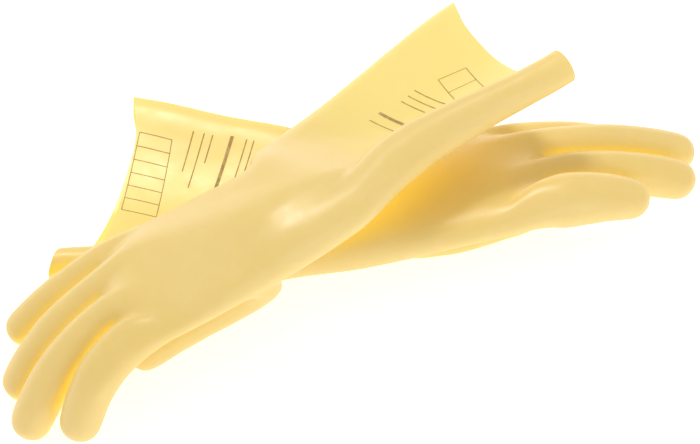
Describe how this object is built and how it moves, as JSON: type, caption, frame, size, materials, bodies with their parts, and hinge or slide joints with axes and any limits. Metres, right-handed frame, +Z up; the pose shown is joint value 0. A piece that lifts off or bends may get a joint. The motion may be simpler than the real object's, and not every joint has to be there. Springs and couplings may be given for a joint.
{
  "type": "electrical insulating gloves",
  "caption": "Seamless natural-latex insulating gauntlet gloves lying crossed: long cuffs curled along the thumb edge, tucked thumbs and relaxed fingers that bend.",
  "frame": {"origin": "middle of the base of the box round both gloves, on the surface that they lie on", "axes": "+Z up; +X along the lower glove, from its cuff to its fingertips; +Y towards the raised corner of the upper glove's cuff"},
  "size_m": [0.3882, 0.2688, 0.1183],
  "materials": {
    "latex": "soft satin, slightly translucent natural latex",
    "ink": "thin matte print"
  },
  "bodies": {
    "left_gauntlet": {"left_gauntlet": "latex"},
    "left_hand": {"left_hand": "latex"},
    "left_index": {"left_index": "latex"},
    "left_middle": {"left_middle": "latex"},
    "left_ring": {"left_ring": "latex"},
    "left_little": {"left_little": "latex"},
    "left_thumb": {"left_thumb": "latex"},
    "right_gauntlet": {"right_gauntlet": "latex"},
    "right_hand": {"right_hand": "latex"},
    "right_index": {"right_index": "latex"},
    "right_middle": {"right_middle": "latex"},
    "right_ring": {"right_ring": "latex"},
    "right_little": {"right_little": "latex"},
    "right_thumb": {"right_thumb": "latex"}
  },
  "joints": [
    {"name": "right_lift", "type": "slide", "parent": "left_gauntlet", "child": "right_gauntlet", "axis": [0, 0, 1], "range_m": [0, 0.15]},
    {"name": "left_wrist_flex", "type": "hinge", "parent": "left_gauntlet", "child": "left_hand", "pos_m": [0.00555, 0.00367, 0.036], "axis": [-0.001, 0.9082, -0.4185], "range_deg": [-14, 10], "stiffness_Nm_per_rad": 2},
    {"name": "left_index_flex", "type": "hinge", "parent": "left_hand", "child": "left_index", "pos_m": [0.10175, -0.00818, 0.05859], "axis": [-0.1042, 0.8961, -0.4314], "range_deg": [-10, 25], "stiffness_Nm_per_rad": 0.1},
    {"name": "left_middle_flex", "type": "hinge", "parent": "left_hand", "child": "left_middle", "pos_m": [0.10287, 0.01514, 0.04973], "axis": [-0.1042, 0.8961, -0.4314], "range_deg": [-10, 25], "stiffness_Nm_per_rad": 0.1},
    {"name": "left_ring_flex", "type": "hinge", "parent": "left_hand", "child": "left_ring", "pos_m": [0.09753, 0.03628, 0.03792], "axis": [-0.1042, 0.8961, -0.4314], "range_deg": [-10, 25], "stiffness_Nm_per_rad": 0.1},
    {"name": "left_little_flex", "type": "hinge", "parent": "left_hand", "child": "left_little", "pos_m": [0.0886, 0.05526, 0.0248], "axis": [-0.1042, 0.8961, -0.4314], "range_deg": [-10, 25], "stiffness_Nm_per_rad": 0.1},
    {"name": "left_thumb_flex", "type": "hinge", "parent": "left_hand", "child": "left_thumb", "pos_m": [0.05004, 0.00042, 0.01419], "axis": [0.1597, -0.413, -0.8966], "range_deg": [-5, 25], "stiffness_Nm_per_rad": 0.1},
    {"name": "right_wrist_flex", "type": "hinge", "parent": "right_gauntlet", "child": "right_hand", "pos_m": [-0.04445, -0.03233, 0.087], "axis": [0.3466, -0.8313, 0.4346], "range_deg": [-28, 0], "stiffness_Nm_per_rad": 2},
    {"name": "right_index_flex", "type": "hinge", "parent": "right_hand", "child": "right_index", "pos_m": [-0.11534, -0.09373, 0.07419], "axis": [0.3759, -0.8141, 0.4426], "range_deg": [-8, 20], "stiffness_Nm_per_rad": 0.1},
    {"name": "right_middle_flex", "type": "hinge", "parent": "right_hand", "child": "right_middle", "pos_m": [-0.12853, -0.0753, 0.06372], "axis": [0.3759, -0.8141, 0.4426], "range_deg": [-8, 20], "stiffness_Nm_per_rad": 0.1},
    {"name": "right_ring_flex", "type": "hinge", "parent": "right_hand", "child": "right_ring", "pos_m": [-0.13487, -0.05404, 0.05263], "axis": [0.3759, -0.8141, 0.4426], "range_deg": [-8, 20], "stiffness_Nm_per_rad": 0.1},
    {"name": "right_little_flex", "type": "hinge", "parent": "right_hand", "child": "right_little", "pos_m": [-0.13689, -0.032, 0.04156], "axis": [0.3759, -0.8141, 0.4426], "range_deg": [-8, 9], "stiffness_Nm_per_rad": 0.1},
    {"name": "right_thumb_flex", "type": "hinge", "parent": "right_hand", "child": "right_thumb", "pos_m": [-0.06802, -0.06178, 0.05348], "axis": [-0.4044, 0.2857, 0.8688], "range_deg": [-8, 30], "stiffness_Nm_per_rad": 0.1}
  ]
}
